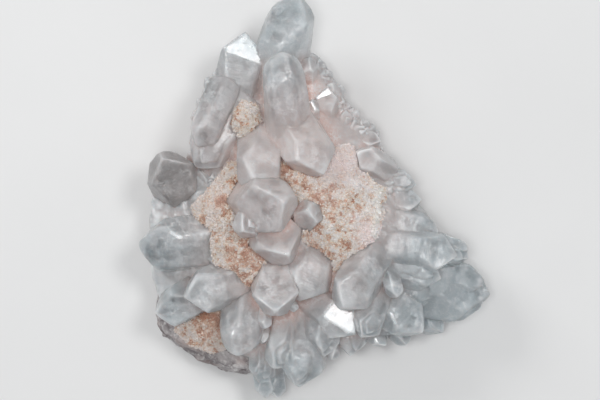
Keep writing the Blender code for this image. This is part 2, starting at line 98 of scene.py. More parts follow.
RIGHT_CRYSTALS = (
    ("leaning_crystal", (15.4, -14.8, 16.0), (6.2, -28.0, 33.0), 11.2, 80, 0.14, 29),
    ("leaning_under", (16.2, -21.5, 15.0), (12.0, -35.6, 26.5), 8.2, 60, 0.08, 23),
    ("low_right", (14.2, -24.5, 12.0), (28.2, -34.0, 22.0), 11.0, 70, 0.12, 23),
    ("right_ledge", (17.5, -16.8, 15.0), (32.2, -20.6, 24.0), 8.6, 84, 0.14, 25),
    ("right_under", (16.2, -21.0, 11.0), (31.4, -25.4, 18.0), 9.0, 88, 0.12, 26),
    ("right_upper", (18.6, -13.0, 16.0), (36.2, -14.6, 26.0), 9.8, 76, 0.14, 25),
    ("right_striped", (30.5, -12.4, 13.0), (39.3, -15.4, 18.5), 7.4, 60, 0.10, 32),
    ("right_point", (24.0, -22.8, 8.5), (46.0, -25.0, 15.0), 15.0, 70, 0.10, 35),
    ("right_brown", (25.5, -29.0, 8.0), (33.4, -34.6, 11.0), 6.8, 50, 0.08, 26),
    ("glint_tooth", (13.5, -33.5, 8.5), (18.4, -38.0, 12.5), 4.6, 70, 0.0, 32),
    ("low_tooth", (20.5, -32.0, 8.5), (23.4, -38.0, 12.0), 5.8, 40, 0.0, 29),
    ("ridge_blade", (17.2, -15.2, 17.0), (20.6, -25.4, 26.0), 5.2, 54, 0.0, 32),
    ("shelf_lower", (19.0, -6.0, 13.5), (32.3, -9.8, 19.0), 8.4, 80, 0.12, 11),
    ("shelf_middle", (20.0, -2.0, 13.0), (27.6, -0.4, 17.0), 7.6, 62, 0.10, 13),
    ("shelf_upper", (18.5, 3.4, 12.0), (26.3, 3.2, 15.5), 6.6, 82, 0.10, 26),
    ("window_crystal", (18.5, 6.4, 13.0), (10.6, 11.2, 22.5), 6.6, 88, 0.14, 32),
    ("flank_tooth", (11.5, 13.5, 11.0), (17.0, 14.0, 15.0), 5.6, 50, 0.0, 26),
    ("glint_crystal", (2.5, 19.5, 13.0), (3.4, 27.2, 21.0), 5.6, 92, 0.20, 72),
    ("glint_small", (-1.2, 17.5, 16.0), (-0.7, 24.0, 24.0), 4.8, 70, 0.06, 38),
    ("spire_foot", (-2.2, 26.5, 13.0), (-1.4, 35.2, 20.0), 5.2, 40, 0.0, 29),
)
SIDE_CRYSTALS = (
    ("smoky_side", (-26.0, -2.0, 8.0), (-29.8, 7.2, 18.0), 7.2, 60, 0.06, 32),
    ("left_under", (-24.0, -19.4, 8.5), (-37.8, -21.0, 13.5), 9.4, 86, 0.12, 26),
)
FREE_CRYSTALS = {
    "centre_crystals": (
        ("centre_large", (-15.4, -1.8, 17.0), (-8.6, -2.3, 42.5), 14.2, 124, 0.20, 23),
        ("centre_lower", (-13.0, -6.2, 16.0), (-6.4, -14.0, 34.0), 12.8, 70, 0.16, 22),
        ("centre_small", (-15.2, -3.8, 20.0), (-17.3, -8.6, 34.0), 7.4, 60, 0.08, 23),
    ),
    "small_clear_crystal": (("clear", (-1.0, -5.8, 15.0), (-2.0, -4.2, 32.0), 7.6, 40, 0.12, 29),),
    "smoky_crystal": (("smoky", (-33.8, 1.4, 8.5), (-37.4, 8.6, 27.0), 11.6, 90, 0.20, 38),),
    "left_long_crystal": (("left_long", (-22.5, -10.8, 13.0), (-45.4, -12.8, 21.5), 13.0, 70, 0.10, 22),),
    "lower_left_crystals": (
        ("lower_left_outer", (-25.5, -23.0, 11.0), (-40.4, -30.2, 20.5), 10.6, 66, 0.14, 16),
        ("lower_left_inner", (-19.5, -21.2, 16.0), (-32.6, -25.0, 28.0), 10.4, 86, 0.24, 32),
    ),
    "lower_long_crystal": (
        ("lower_long", (-17.2, -22.5, 12.0), (-18.8, -41.6, 27.0), 11.8, 66, 0.08, 9),
    ),
    "pyramid_crystal": (("pyramid", (-9.6, -20.0, 17.0), (-9.6, -26.6, 36.0), 11.2, 92, 0.28, 49),),
}
# Stretch of the rim where the quartz is massive and calmer, in degrees round the pole
MASSIVE = (8.0, 84.0)
# Stretches of the rim with larger points: first and last angle, and how many
RIM_DRUSES = ((8.0, 76.0, 22), (122.0, 172.0, 15), (-178.0, -166.0, 3), (-84.0, -20.0, 14))
# Broken, toothed edges of the right point: where each starts and ends, seen with the outside on the right
TOOTHED_EDGES = (
    ((43.2, -24.4, 13.0), (36.8, -17.6, 12.0), 11),
    ((30.0, -30.6, 10.5), (35.0, -30.8, 11.2), 4), ((35.0, -30.8, 11.2), (42.6, -26.0, 12.8), 9),
)
CRUSTS = ("crust_left", "crust_right", "crust_upper", "crust_lower")

# White needles that stand along the right edge of the right crust: start, end and half width
NEEDLES = ((15.9, 1.6), (14.6, -9.8), 0.75)

# Colours of the quartz, how clear it is, and how strongly it absorbs (density per metre); rim is the pale
# of streaks, dust and cracks, and also the painted highlight on edges
MILKY = {
    "cool": (0.665, 0.745, 0.775), "warm": (0.97, 0.875, 0.85), "deep": (0.84, 0.80, 0.80), "clear": 0.86,
    "rim": (0.97, 0.98, 0.99), "body_colour": (0.94, 0.90, 0.89), "density": 4.0,
}
SMOKY = {
    "cool": (0.52, 0.51, 0.51), "warm": (0.52, 0.49, 0.48), "deep": (0.40, 0.38, 0.37), "clear": 0.78,
    "rim": (0.72, 0.71, 0.71), "body_colour": (0.55, 0.52, 0.50), "density": 40.0,
}

# Colours of the crust: without rust, then at each share of rust, where it is pink, and on its shaded side
CRUST_WHITE = (0.85, 0.80, 0.765)
CRUST_STOPS = ((0.42, (0.80, 0.71, 0.61)), (0.70, (0.72, 0.48, 0.35)), (1.0, (0.44, 0.19, 0.11)))
CRUST_PINK = (0.94, 0.79, 0.765)
CRUST_SHADE = (0.44, 0.27, 0.20)

# Stained and pale spots of the crust: centre, radius, and what they add to the rust and to the pink
CRUST_SPOTS = (
    ((-23.1, -1.7), 2.1, 1.5, 0.05),
    ((13.6, -9.4), 4.0, -0.2, 0.8),
    ((7.6, 9.0), 7.0, -0.7, 0.7),
    ((-24.0, -1.0), 5.0, -0.55, 0.15),
    ((-17.0, -12.6), 5.5, 0.42, 0.0),
    ((1.5, 1.0), 5.0, 0.3, 0.0),
    ((-7.4, 6.2), 3.0, 0.5, 0.1),
    ((-25.5, -31.0), 4.5, 0.8, 0.0),
    ((8.0, -1.0), 6.0, 0.12, 0.0),
    ((7.0, -12.5), 3.5, 0.15, 0.0),
    ((-15.0, -8.0), 5.0, 0.2, 0.0),
)

# Pinker parts of the quartz: centre, radius, strength
QUARTZ_SPOTS = (
    ((9.0, 22.0), 12.0, 0.5), ((19.0, -4.0), 6.0, 0.4), ((-16.0, -40.0), 6.0, 0.3),
    ((-20.0, 31.0), 5.0, 0.3), ((-26.0, 18.0), 8.0, 0.3),
)
# Painted shade of the quartz deep among the crystals, a darker warm tint
CREASE_SHADE = (0.76, 0.55, 0.49)

# Fineness of the balls that crystals are made from: large ones, steps and cutters, small points
ICO_LEVEL = 5
STEP_ICO_LEVEL = 4
SMALL_ICO_LEVEL = 3
BED_SPOKES = 300
CUTTER_SPOKES = 96
MOST_QUARTZ_FACES = 190000
MOST_MATRIX_FACES = 120000
CRUST_VOXEL = 0.3
MATRIX_VOXEL = 0.6
GRAINS_PER_MM2 = 12.0
FINE_POINTS = 170
POINT_SHARPNESS = 20
CHIPS = 4

# Crystals sharper than SOFT are made crisper, and those softer than ETCHED are hollowed more
SOFT = 15
CRISPER = 1.4
ETCHED = 20

# Crystals with one large mirror face, and how glossy it is
GLOSSY = {"facet_crystal": 0.62, "mirror_crystal": 0.70}

# Crystals with a small bright face, and the share of the reach that it leaves
GLINT_WAY = (-0.037, -0.004, 0.998)
GLINTS = {
    "left_long": 0.925, "pyramid": 0.945, "low_right": 0.95, "centre_lower": 0.96,
    "clear": 0.965, "glint_crystal": 0.90, "glint_small": 0.93, "glint_tooth": 0.90,
    "right_striped": 0.95,
}

# Crystals that have no smaller ones grown along them, and those with deeper bands across
SINGLE = (
    *GLOSSY,
    "spire", "pyramid", "centre_large", "centre_lower", "smoky", "clear", "lower_long", "front_spire",
    "hanging_crystal", "sloping_crystal", "lower_left_inner", "window_crystal", "shelf_lower",
    "shelf_middle", "leaning_crystal", "behind_pyramid", "left_long", "lower_left_outer", "right_upper",
    "flank_front", "low_right",
)
STEPPED_WIDTH = 6.5
STRIATED = ("right_striped", "leaning_crystal", "right_upper", "low_right")

# Worn faces that crystals have besides their own: outward direction, and share of the reach they leave
WORN_FACES = {
    "spire": (((-0.86, 0.42, 0.28), 0.80), ((0.773, -0.486, 0.416), 0.62)),
    "front_spire": (((0.75, 0.35, 0.55), 0.90),),
    "right_point": (((0.60, 0.70, 0.38), 0.88), ((0.66, -0.66, 0.36), 0.90)),
    "centre_large": (((0.30, 0.20, 0.93), 0.965),),
    "leaning_crystal": (((-0.75, -0.20, 0.62), 0.90), ((0.30, -0.45, 0.84), 0.93)),
    "behind_pyramid": (((0.45, -0.10, 0.88), 0.94), ((-0.30, -0.60, 0.74), 0.93)),
    "left_long": (((-0.72, 0.10, 0.69), 0.88), ((-0.20, -0.35, 0.91), 0.95)),
    "lower_left_outer": (((-0.50, 0.30, 0.81), 0.92),),
    "right_upper": (((0.35, 0.40, 0.85), 0.93), ((-0.35, -0.25, 0.90), 0.93)),
    "facet_crystal": (((0.10, -0.08, 0.99), 0.70), ((-0.62, 0.10, 0.78), 0.93)),
    "mirror_crystal": (((-0.12, -0.133, 0.98), 0.87), ((0.10, -0.62, 0.78), 0.94)),
}


# Stage: places in metres, lens and sensor in millimetres, half the floor's side in millimetres
CAMERA_PLACE = (-0.00355, -0.0005, 0.645)
CAMERA_LENS = 150.0
CAMERA_SENSOR = 36.0
LAMP_TARGET = (0, 0, 0.015)
FLOOR_HALF = 1500


# Smooth noise on whole arrays of points
def hashed(i, j, k, seed):
    h = i * 374761393 + j * 668265263 + k * 1442695041 + seed * 974711
    h = (h ^ (h >> 13)) * 1274126177
    h = h & 0xFFFFFFFF
    h = h ^ (h >> 16)
    return (h & 0xFFFF) / 32767.5 - 1.0


def value_noise(points, seed):
    """Noise between -1 and 1 for an array of points, with cells one unit wide."""
    cell = np.floor(points).astype(np.int64)
    f = points - cell
    f = f * f * (3 - 2 * f)
    total = 0.0
    for dx in (0, 1):
        for dy in (0, 1):
            for dz in (0, 1):
                share = np.abs(1 - dx - f[:, 0]) * np.abs(1 - dy - f[:, 1]) * np.abs(1 - dz - f[:, 2])
                total = total + share * hashed(cell[:, 0] + dx, cell[:, 1] + dy, cell[:, 2] + dz, seed)
    return total


def fractal(points, size, octaves, seed):
    """Sum of noises, each half the size and half the strength of the last."""
    total, strength, whole = 0.0, 1.0, 0.0
    for k in range(octaves):
        total = total + strength * value_noise(points / size, seed + 17 * k)
        whole += strength
        size, strength = size / 2, strength / 2
    return total / whole


# Outline of the bed and the matrix
def outline_reach(outline, angle):
    ray = Vector((math.cos(angle), math.sin(angle)))
    pole = Vector(POLE)
    corners = [Vector(p) - pole for p in outline]
    for a, b in zip(corners, corners[1:] + corners[:1]):
        side = b - a
        slope = ray.x * side.y - ray.y * side.x
        if abs(slope) < 1e-9:
            continue
        along_side = (ray.y * a.x - ray.x * a.y) / slope
        reach = (a.x * side.y - a.y * side.x) / slope
        if -1e-6 <= along_side <= 1 + 1e-6 and reach > 0:
            return reach
    raise ValueError("the outline has to run round the pole")


def lump(point, size, strength):
    return strength * noise.noise(Vector(point) / size)


def bed_height(x, y):
    offset = Vector((x, y)) - Vector(POLE)
    share = offset.length / outline_reach(BED_OUTLINE, math.atan2(offset.y, offset.x))
    return BED_RIM_HEIGHT + BED_CROWN * (1 - min(share, 1.0) ** 2)


def matrix_reach(angle):
    turn = math.remainder(math.degrees(angle) - MATRIX_LEDGE_ANGLE, 360.0)
    ledge = MATRIX_LEDGE * math.exp(-((turn / MATRIX_LEDGE_SPREAD) ** 8))
    return outline_reach(BED_OUTLINE, angle) - MATRIX_INSET + ledge


def in_scene(name, data):
    """Object for this mesh, lamp or camera, linked to the scene."""
    made = bpy.data.objects.new(name, data)
    bpy.context.scene.collection.objects.link(made)
    return made


def new_piece(name, points, faces):
    """Object from points in millimetres in the drawn layout."""
    data = bpy.data.meshes.new(name)
    placed = (np.asarray(points, float) - (CENTRE[0], CENTRE[1], 0.0)) * MM
    data.from_pydata(placed.tolist(), [], np.asarray(faces).tolist())
    data.update()
    return in_scene(name, data)


def shell(name, spokes, rings, floor, crown):
    points, faces = [], []
    for ring in rings:
        for i in range(spokes):
            angle = 2 * math.pi * i / spokes
            reach, height = ring(angle)
            points.append((POLE[0] + reach * math.cos(angle), POLE[1] + reach * math.sin(angle), height))
    for level in range(len(rings) - 1):
        for i in range(spokes):
            j = (i + 1) % spokes
            a, b = level * spokes, (level + 1) * spokes
            faces += [(a + i, a + j, b + j), (a + i, b + j, b + i)]
    top = (len(rings) - 1) * spokes
    points += [(POLE[0], POLE[1], floor), (POLE[0], POLE[1], crown)]
    hub = len(points) - 2
    for i in range(spokes):
        j = (i + 1) % spokes
        faces += [(j, i, hub), (top + i, top + j, hub + 1)]
    return new_piece(name, points, faces)


def quartz_bed():
    """Dome of massive quartz, with a rough rim and a sugary surface."""

    def wall(share, height):
        def ring(angle):
            spot = (20 * math.cos(angle), 20 * math.sin(angle), height)
            rough = lump(spot, 4.0, 0.7) + lump(spot, 1.3, 0.7) - 0.3
            return outline_reach(BED_OUTLINE, angle) * share + rough, height

        return ring

    def dome(share):
        def ring(angle):
            reach = outline_reach(BED_OUTLINE, angle) * share
            x, y = POLE[0] + reach * math.cos(angle), POLE[1] + reach * math.sin(angle)
            calm = 0.45 if MASSIVE[0] < math.degrees(angle) < MASSIVE[1] else 1.0
            fine = lump((x, y, 3), 1.7, 0.9) + lump((x, y, 7), 0.8, 0.35)
            return reach, bed_height(x, y) + (lump((x, y, 0), 5.0, 1.4) + calm * fine)

        return ring

    rings = [wall(0.93 + 0.02 * k / 4, 3.0 + 0.75 * k) for k in range(4)]
    rings += [wall(0.985, 6.0 + 0.5 * k) for k in range(7)]
    rings += [wall(0.99, 9.5 + 0.4 * k) for k in range(4)]
    rings += [dome(0.975 - 0.0125 * k) for k in range(78)]
    return shell("quartz_bed", BED_SPOKES, rings, BED_UNDERSIDE, bed_height(POLE[0] + 0.01, POLE[1]))


def matrix_cutter():
    """The matrix with the gap that the bed keeps to it."""

    def side(inset, height, rough):
        def ring(angle):
            jag = lump((30 * math.cos(angle), 30 * math.sin(angle), 3 * height), 3.5, rough)
            return matrix_reach(angle) - inset + jag + GAP, height

        return ring

    def top(share):
        def ring(angle):
            reach = matrix_reach(angle) * share
            x, y = POLE[0] + reach * math.cos(angle), POLE[1] + reach * math.sin(angle)
            height = MATRIX_TOP_RIM + MATRIX_CROWN * (1 - share**2)
            return reach + GAP * share, height + lump((x, y, 9), 4.0, 1.2) + GAP

        return ring

    rings = [side(2.4, 0.0, 0.8), side(1.0, 1.2, 1.4), side(0.2, 3.6, 2.0), side(0.0, 6.2, 2.0)]
    rings += [top(share) for share in (0.965, 0.8, 0.45)]
    return shell("matrix_cutter", CUTTER_SPOKES, rings, 0.0, MATRIX_TOP_RIM + MATRIX_CROWN + GAP)


# Crystals
def directions(foot, tip):
    """Foot and tip as vectors, with the crystal's axis, the level way across it and the way over it."""
    foot, tip = Vector(foot), Vector(tip)
    axis = (tip - foot).normalized()
    across = Vector((0, 0, 1)).cross(axis).normalized()
    return foot, tip, axis, across, axis.cross(across)


def crystal_planes(name, foot, tip, width, roll, slant):
    chance = random.Random(name)
    foot, tip, axis, across, over = directions(foot, tip)
    middle = foot.lerp(tip, 0.5)
    taper, slope = math.radians(PRISM_TAPER), math.radians(PYRAMID_SLOPE)
    planes = [(foot, -axis)]
    for k in range(6):
        turn = math.radians(roll + 60 * k)
        out = math.cos(turn) * across + math.sin(turn) * over
        half = width / 2 * chance.uniform(0.9, 1.04)
        planes.append((middle + out * half, out * math.cos(taper) + axis * math.sin(taper)))
        face = out * math.sin(slope) + axis * math.cos(slope)
        leading = k % 2 == 0
        rise = chance.uniform(-0.04, 0.0) if leading else chance.uniform(0.03, 0.11)
        if k == 0:
            rise -= slant
        planes.append((tip + face * (rise * width), face))
    return planes


ICO = {}


def ico(level):
    """Points and triangles of a finely divided ball."""
    if level not in ICO:
        mesh = bmesh.new()
        bmesh.ops.create_icosphere(mesh, subdivisions=level, radius=1.0)
        points = np.array([v.co for v in mesh.verts])
        faces = np.array([[v.index for v in f.verts] for f in mesh.faces])
        mesh.free()
        ICO[level] = points, faces
    return ICO[level]


def rounded(rays, normals, offsets, power):
    """Where rays from the centre meet the solid that these planes bound, with its edges softened."""
    reach = (np.maximum(rays @ normals.T / offsets, 0) ** power).sum(1) ** (1 / power)
    return rays / reach[:, None]


def etched_crystal(name, foot, tip, width, roll, slant, sharp, level=ICO_LEVEL):
    """One crystal with softened edges, growth bands across its prism and etched hollows."""
    planes = crystal_planes(name, foot, tip, width, roll, slant)
    normals = np.array([n for p, n in planes])
    foot_v, tip_v = np.array(foot, float), np.array(tip, float)
    centre = foot_v * 0.45 + tip_v * 0.55
    offsets = np.array([(np.array(p) - centre) @ np.array(n) for p, n in planes])
    ball, faces = ico(level)
    axis = (tip_v - foot_v) / np.linalg.norm(tip_v - foot_v)
    length = np.linalg.norm(tip_v - foot_v)
    stretched = ball + np.outer(ball @ axis, axis) * (length / width - 1)
    power = sharp if sharp < SOFT else sharp * CRISPER
    points = rounded(stretched, normals, offsets, power)
    if name.startswith("glint_grain"):
        way = np.array(GLINT_WAY)
        offsets = np.append(offsets, (points @ way).max() * 0.82)
        normals = np.vstack([normals, way])
        points = rounded(stretched, normals, offsets, power)
    elif not name.startswith(("druse", "fine")):
        chance = random.Random(name + " chips")
        cuts = [(way, share) for way, share in WORN_FACES.get(name, ())]
        for k in range(0 if name in GLOSSY else CHIPS):
            way = Vector([chance.gauss(0, 1) for _ in range(3)]).normalized() + Vector(axis) * 0.35
            cuts.append((way, chance.uniform(0.925, 0.985)))
        if name in GLINTS:
            cuts.append((GLINT_WAY, GLINTS[name]))
        for way, share in cuts:
            way = np.array(Vector(way).normalized())
            offsets = np.append(offsets, (points @ way).max() * share)
            normals = np.vstack([normals, way])
        points = rounded(stretched, normals, offsets, power)
    weight = np.maximum(points @ normals.T / offsets, 0) ** (power - 1) / offsets
    out = weight @ normals
    out /= np.linalg.norm(out, axis=1)[:, None]
    seed = sum(ord(c) * (i + 3) for i, c in enumerate(name)) % 9973
    place = points + centre
    along = points @ axis
    shine = np.zeros(len(place))
    if name in GLOSSY:
        shine = GLOSSY[name] * (out @ normals[2] > 0.995)
    elif name in GLINTS or name.startswith("glint_grain"):
        shine = 1.0 * (out @ normals[-1] > 0.997)
    if level > SMALL_ICO_LEVEL:
        soft = 1.0 if sharp < ETCHED else 0.3
        fixed = along * 0 + seed
        wide = np.stack([along * 1.1, fixed, fractal(place, 9.0, 1, seed) * 1.5], 1)
        narrow = np.stack([along * 2.6, fixed, fractal(place, 6.0, 1, seed) * 1.2], 1)
        bands = value_noise(wide, seed + 5)
        bands += 0.6 * value_noise(narrow, seed + 6)
        flat_side = 1 - np.abs(out @ axis)
        dents = fractal(place, 4.5, 2, seed + 9)
        pits = np.maximum(fractal(place, 1.6, 2, seed + 11) - 0.28, 0)
        steps = 0.14 if name in STRIATED else 0.05
        sink = steps * flat_side * (bands - 1.0) + soft * (0.18 * (dents - 0.7) - 0.3 * pits)
        place = place + out * (sink * (1 - shine))[:, None]
    piece = new_piece(name, place, faces)
    local = piece.data.attributes.new("local", "FLOAT_VECTOR", "POINT")
    side = np.cross((0, 0, 1), axis)
    side /= np.linalg.norm(side)
    turned = np.stack([points @ side, points @ np.cross(axis, side), along * 0.22], 1) + seed % 97
    local.data.foreach_set("vector", turned.astype(np.float32).ravel())
    set_value(piece, "along", along + 3.7 * (seed % 50))
    set_value(piece, "rise", np.clip((along - along.min()) / (along.max() - along.min()), 0, 1))
    set_value(piece, "gloss", shine)
    return piece


def stepped(name, foot, tip, width, roll, slant, sharp):
    """A row with smaller parallel crystals beside it, which make steps in its faces."""
    rows = [(name, foot, tip, width, roll, slant, sharp)]
    if name in SINGLE or width < STEPPED_WIDTH:
        return rows
    chance = random.Random(name + " steps")
    foot, tip, axis, across, over = directions(foot, tip)
    upper = [k for k in range(6) if math.sin(math.radians(roll + 60 * k)) > -0.3]
    for k in chance.sample(upper, 2):
        turn = math.radians(roll + 60 * k + chance.uniform(-8, 8))
        share = chance.uniform(0.55, 0.78)
        shift = (math.cos(turn) * across + math.sin(turn) * over) * (0.48 * width * (1 - share))
        back = axis * (shift.length * chance.uniform(0.7, 1.2))
        start, end = tuple(foot + shift), tuple(tip + shift - back)
        rows.append((f"{name}_{k}", start, end, width * share, roll, 0.0, sharp))
    return rows


def random_lean(chance, aside, low, high):
    return Vector((chance.uniform(-aside, aside), chance.uniform(-aside, aside), chance.uniform(low, high)))


def point_row(name, foot, tip, width, chance):
    return name, tuple(foot), tuple(tip), width, chance.uniform(0, 60), 0.0


def rim_druse():
    """Larger points that stand out along the rim."""
    chance = random.Random(SEED)
    rows = []
    for stretch, (first, last, count) in enumerate(RIM_DRUSES):
        for i in range(count):
            degrees = first + (last - first) * (i + chance.uniform(0.2, 0.8)) / count
            angle = math.radians(degrees)
            out = Vector((math.cos(angle), math.sin(angle), 0))
            reach = outline_reach(BED_OUTLINE, angle) * chance.uniform(0.86, 0.97)
            spot = Vector((*POLE, 0)) + out * reach
            lean = random_lean(chance, 0.5, 0.1, 1.1)
            foot = Vector((spot.x, spot.y, bed_height(spot.x, spot.y) - chance.uniform(1.5, 5.0)))
            foot -= out * 2.0
            width = chance.uniform(2.0, 3.8)
            tip = foot + (out + lean).normalized() * (width * chance.uniform(1.0, 1.5) + 1.4)
            rows.append(point_row(f"druse_{stretch}_{i}", foot, tip, 1.3 * width, chance))
    return rows


def fine_druse(count):
    """Small points that roughen the rim between the larger ones."""
    chance = random.Random(SEED + 1)
    rows = []
    for i in range(count):
        angle = math.radians(chance.uniform(-92.0, 176.0))
        out = Vector((math.cos(angle), math.sin(angle), 0))
        share = chance.uniform(0.72, 0.965)
        if MASSIVE[0] < math.degrees(angle) < MASSIVE[1]:
            share = 0.965 - 0.35 * (0.965 - share)
        spot = Vector((*POLE, 0)) + out * outline_reach(BED_OUTLINE, angle) * share
        lean = random_lean(chance, 0.8, 0.2, 1.6)
        width = chance.uniform(1.4, 4.6)
        foot = Vector((spot.x, spot.y, bed_height(spot.x, spot.y) - 0.55 * width))
        tip = foot + (out * 0.9 + lean).normalized() * (0.6 * width + chance.uniform(0.4, 0.9))
        kind = "glint_grain" if i % 4 == 0 else "fine"
        rows.append(point_row(f"{kind}_{i}", foot, tip, width, chance))
    return rows


def edge_teeth():
    """Small points along the broken edges of the right point."""
    chance = random.Random(SEED + 2)
    rows = []
    for stretch, (start, end, count) in enumerate(TOOTHED_EDGES):
        start, end = Vector(start), Vector(end)
        out = Vector((end - start)).cross(Vector((0, 0, 1))).normalized()
        for i in range(count):
            foot = start.lerp(end, (i + chance.uniform(0.1, 0.9)) / count)
            width = chance.uniform(1.3, 2.6)
            lean = random_lean(chance, 0.6, 0.0, 0.9)
            tip = foot + (out * 0.8 + lean).normalized() * chance.uniform(1.2, 2.2)
            rows.append(point_row(f"fine_edge_{stretch}_{i}", foot, tip, width, chance))
    return rows


def applied(piece):
    """Puts what the modifiers make of a piece in place of its mesh."""
    bpy.context.view_layer.update()
    graph = bpy.context.evaluated_depsgraph_get()
    result = bpy.data.meshes.new_from_object(piece.evaluated_get(graph))
    piece.modifiers.clear()
    piece.data = result
    return piece


def combine(piece, operands, operation):
    """Joins or cuts piece with the operands, which are used up."""
    scene = bpy.context.scene.collection
    holder = bpy.data.collections.new("operands")
    scene.children.link(holder)
    for operand in operands:
        scene.objects.unlink(operand)
        holder.objects.link(operand)
    modifier = piece.modifiers.new("combine", "BOOLEAN")
    modifier.operand_type = "COLLECTION"
    modifier.collection = holder
    modifier.operation = operation
    modifier.solver = "MANIFOLD"
    applied(piece)
    for operand in operands:
        bpy.data.objects.remove(operand)
    bpy.data.collections.remove(holder)
    return piece


def thinned(piece, most):
    """Drops triangles where the surface is nearly flat, until at most this many are left."""
    count = sum(len(p.vertices) - 2 for p in piece.data.polygons)
    if count > most:
        modifier = piece.modifiers.new("thin", "DECIMATE")
        modifier.ratio = most / count
        modifier.use_collapse_triangulate = True
        applied(piece)
    return piece


def largest_body(piece):
    """Deletes the chips that a cut leaves beside the main body."""
    mesh = bmesh.new()
    mesh.from_mesh(piece.data)
    mesh.faces.ensure_lookup_table()
    seen = np.zeros(len(mesh.faces), bool)
    bodies = []
    for start in mesh.faces:
        if seen[start.index]:
            continue
        seen[start.index] = True
        body, edge = [], [start]
        while edge:
            face = edge.pop()
            body.append(face)
            for side in face.edges:
                for neighbour in side.link_faces:
                    if not seen[neighbour.index]:
                        seen[neighbour.index] = True
                        edge.append(neighbour)
        bodies.append(body)
    bodies.sort(key=len)
    chips = [f for body in bodies[:-1] for f in body]
    if chips:
        bmesh.ops.delete(mesh, geom=chips, context="FACES")
    mesh.to_mesh(piece.data)
    mesh.free()
    return piece


def crowded():
    """All crystals that are grown together with the bed."""
    pieces = []
    for main in TOP_CRYSTALS + LOWER_CRYSTALS + RIGHT_CRYSTALS + SIDE_CRYSTALS:
        for k, row in enumerate(stepped(*main)):
            pieces.append(etched_crystal(*row, level=ICO_LEVEL if k == 0 else STEP_ICO_LEVEL))
    for row in rim_druse() + fine_druse(FINE_POINTS) + edge_teeth():
        pieces.append(etched_crystal(*row, POINT_SHARPNESS, level=SMALL_ICO_LEVEL))
    return pieces


def cutters(rows):
    return [etched_crystal(*row, level=STEP_ICO_LEVEL) for main in rows for row in stepped(*main)]


# Shader helpers
def material(name):
    made = bpy.data.materials.new(name)
    made.use_nodes = True
    tree = made.node_tree
    return made, tree, tree.nodes["Principled BSDF"]


def feed(tree, socket, value):
    """Links a socket to another, or gives it a number or a colour."""
    if isinstance(value, bpy.types.NodeSocket):
        tree.links.new(value, socket)
    else:
        socket.default_value = (*value, 1.0) if isinstance(value, tuple) else value


def set_inputs(made, **inputs):
    for key, value in inputs.items():
        made.inputs[key.replace("_", " ")].default_value = value


def node(tree, kind, **inputs):
    made = tree.nodes.new(kind)
    set_inputs(made, **inputs)
    return made


def spread(tree, source, low, high, out_low, out_high):
    """Maps one stretch of a value onto another, held at its ends."""
    made = tree.nodes.new("ShaderNodeMapRange")
    for key, value in zip(("From Min", "From Max", "To Min", "To Max"), (low, high, out_low, out_high)):
        made.inputs[key].default_value = value
    tree.links.new(source, made.inputs["Value"])
    return made.outputs["Result"]


def mixed(tree, share, a, b):
    made = tree.nodes.new("ShaderNodeMix")
    made.data_type = "RGBA"
    for socket, value in ((made.inputs[0], share), (made.inputs[6], a), (made.inputs[7], b)):
        feed(tree, socket, value)
    return made.outputs[2]


def summed(tree, operation, a, b):
    made = tree.nodes.new("ShaderNodeMath")
    made.operation = operation
    for socket, value in zip(made.inputs, (a, b)):
        feed(tree, socket, value)
    return made.outputs[0]


def product(tree, a, b):
    return summed(tree, "MULTIPLY", a, b)


def without(tree, value, share):
    """The value, less the share of it that is given from 0 to 1."""
    return product(tree, value, summed(tree, "SUBTRACT", 1.0, share))


def own_place(tree):
    return tree.nodes.new("ShaderNodeTexCoord").outputs["Object"]


def noise_at(tree, place, **inputs):
    made = node(tree, "ShaderNodeTexNoise", **inputs)
    tree.links.new(place, made.inputs["Vector"])
    return made.outputs


def noise_value(tree, scale, detail=2.0, rough=0.5, distort=0.0):
    """Noise in the piece's own coordinates; scale is in cells per metre."""
    made = noise_at(tree, own_place(tree), Scale=scale, Detail=detail, Roughness=rough, Distortion=distort)
    return made["Fac"]


def attribute(tree, name, output="Fac"):
    made = tree.nodes.new("ShaderNodeAttribute")
    made.attribute_name = name
    return made.outputs[output]


def bumped(tree, surface, height, strength, distance):
    bump = node(tree, "ShaderNodeBump", Strength=strength, Distance=distance)
    tree.links.new(height, bump.inputs["Height"])
    tree.links.new(bump.outputs["Normal"], surface.inputs["Normal"])


def healed_cracks(tree, scale, most):
    """Thin wavering pale lines that come and go, as healed fractures do; scale is in cells per metre."""
    place = own_place(tree)
    waver = noise_at(tree, place, Scale=1.6 * scale, Detail=4.0, Roughness=0.6)["Color"]
    moved = tree.nodes.new("ShaderNodeVectorMath")
    moved.operation = "MULTIPLY_ADD"
    moved.inputs[1].default_value = (1.6 / scale,) * 3
    cells = node(tree, "ShaderNodeTexVoronoi", Scale=scale)
    cells.feature = "DISTANCE_TO_EDGE"
    tree.links.new(waver, moved.inputs[0])
    tree.links.new(place, moved.inputs[2])
    tree.links.new(moved.outputs["Vector"], cells.inputs["Vector"])
    lines = spread(tree, cells.outputs["Distance"], 0.0, 0.045, most, 0.0)
    parts = spread(tree, noise_value(tree, 0.5 * scale, 2.0), 0.40, 0.58, 0.0, 1.0)
    return product(tree, lines, parts)


